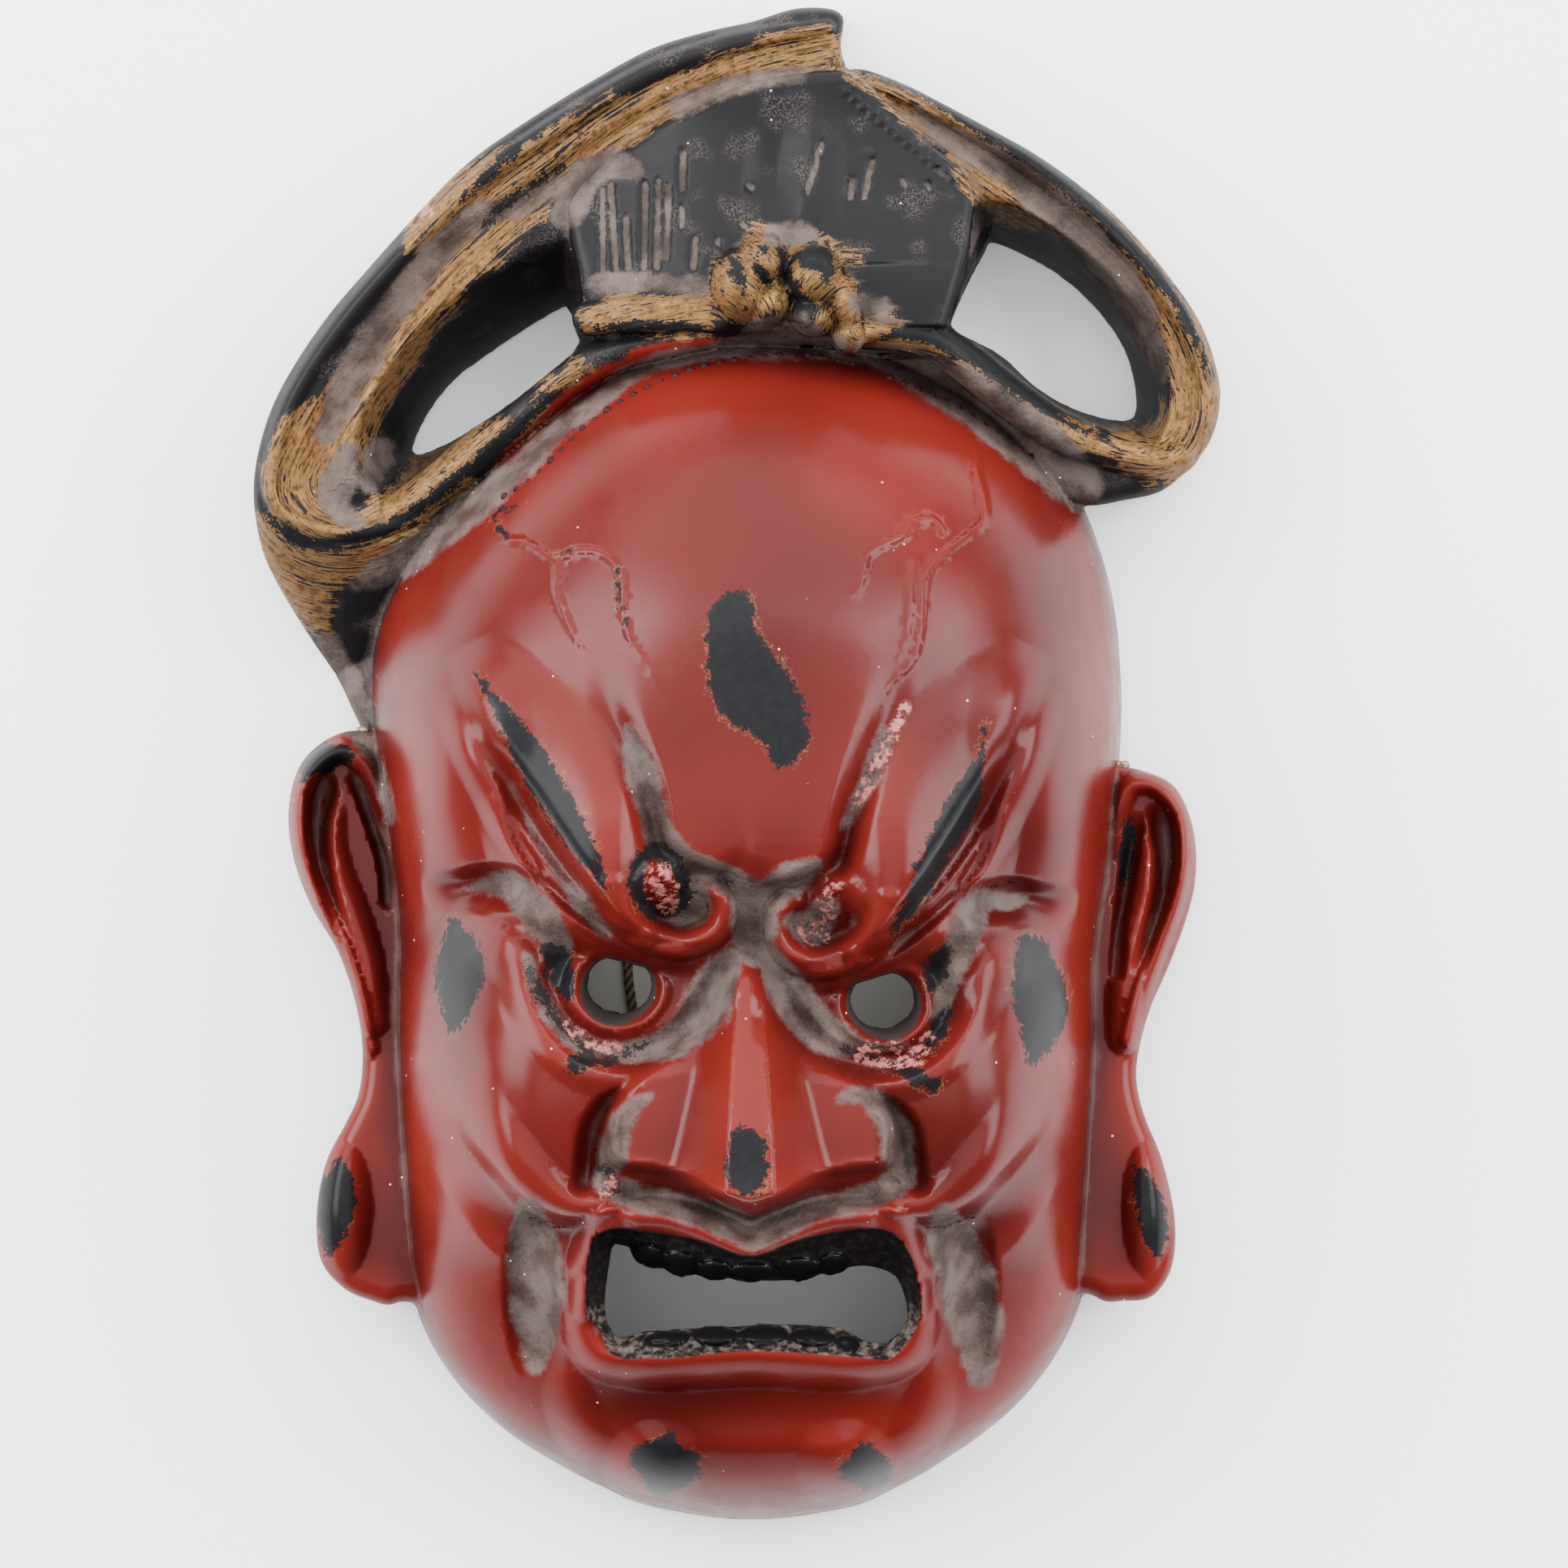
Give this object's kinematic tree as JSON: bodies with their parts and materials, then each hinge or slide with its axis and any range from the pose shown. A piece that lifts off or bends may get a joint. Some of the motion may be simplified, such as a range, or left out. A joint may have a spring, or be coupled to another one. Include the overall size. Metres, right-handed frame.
{
  "type": "bugaku mask",
  "caption": "Hollow dance mask with a scowling guardian face, long ears, topknot and looped ribbon, with its head cord, lying face up on its rim.",
  "frame": {"origin": "under the middle of the mask, on the plane that its rim lies on", "axes": "+Z out of the face, +Y to the crown, +X to the right of someone who looks at the face"},
  "size_m": [0.2382, 0.3724, 0.1176],
  "materials": {
    "mask": "polished red lacquer over black, rubbed through on the high points, with gilt ribbon",
    "cord": "braided hemp"
  },
  "bodies": {
    "root": {"mask": "mask", "cord": "cord", "cord_knot_left": "cord", "cord_knot_right": "cord"}
  },
  "joints": []
}
